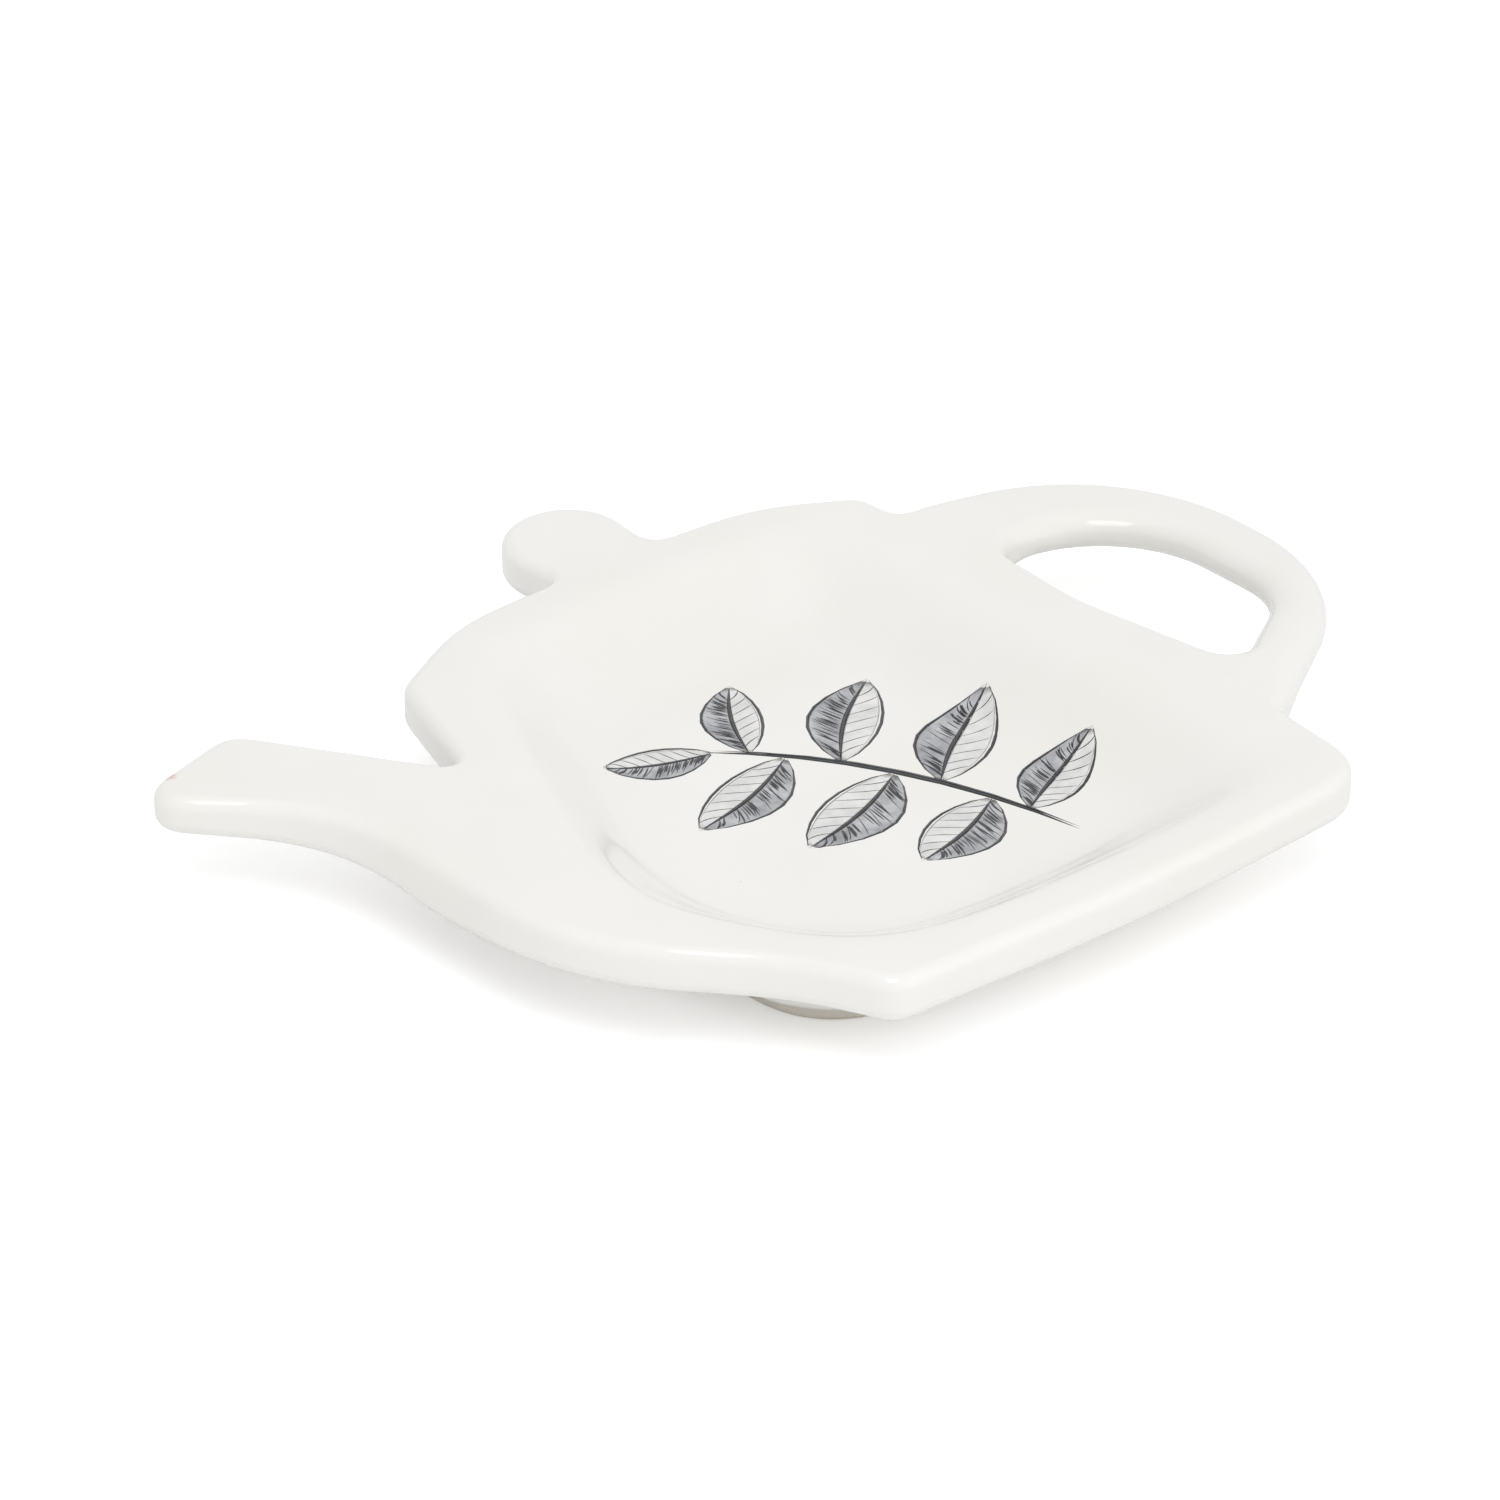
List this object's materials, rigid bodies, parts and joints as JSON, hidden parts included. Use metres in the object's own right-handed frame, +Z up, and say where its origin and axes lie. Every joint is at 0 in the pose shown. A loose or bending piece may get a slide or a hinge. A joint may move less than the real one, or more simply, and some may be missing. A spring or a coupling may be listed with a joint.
{
  "type": "tea bag rest",
  "caption": "Shallow glazed dish in a teapot's outline with a spout, lid knob and open handle, on a foot ring, for a used tea bag to rest in.",
  "frame": {"origin": "middle of the overall box, at the bottom of the foot ring", "axes": "+Z up, +X from the spout side to the handle side, +Y from the straight base to the lid knob"},
  "size_m": [0.141, 0.112, 0.0148],
  "materials": {
    "glaze": "gloss",
    "foot": "satin",
    "ink": "gloss"
  },
  "bodies": {
    "root": {"dish": "glaze", "spout": "glaze", "lid_knob": "glaze", "handle_loop": "glaze", "foot_ring": "foot", "print_sprig": "ink"}
  },
  "joints": []
}
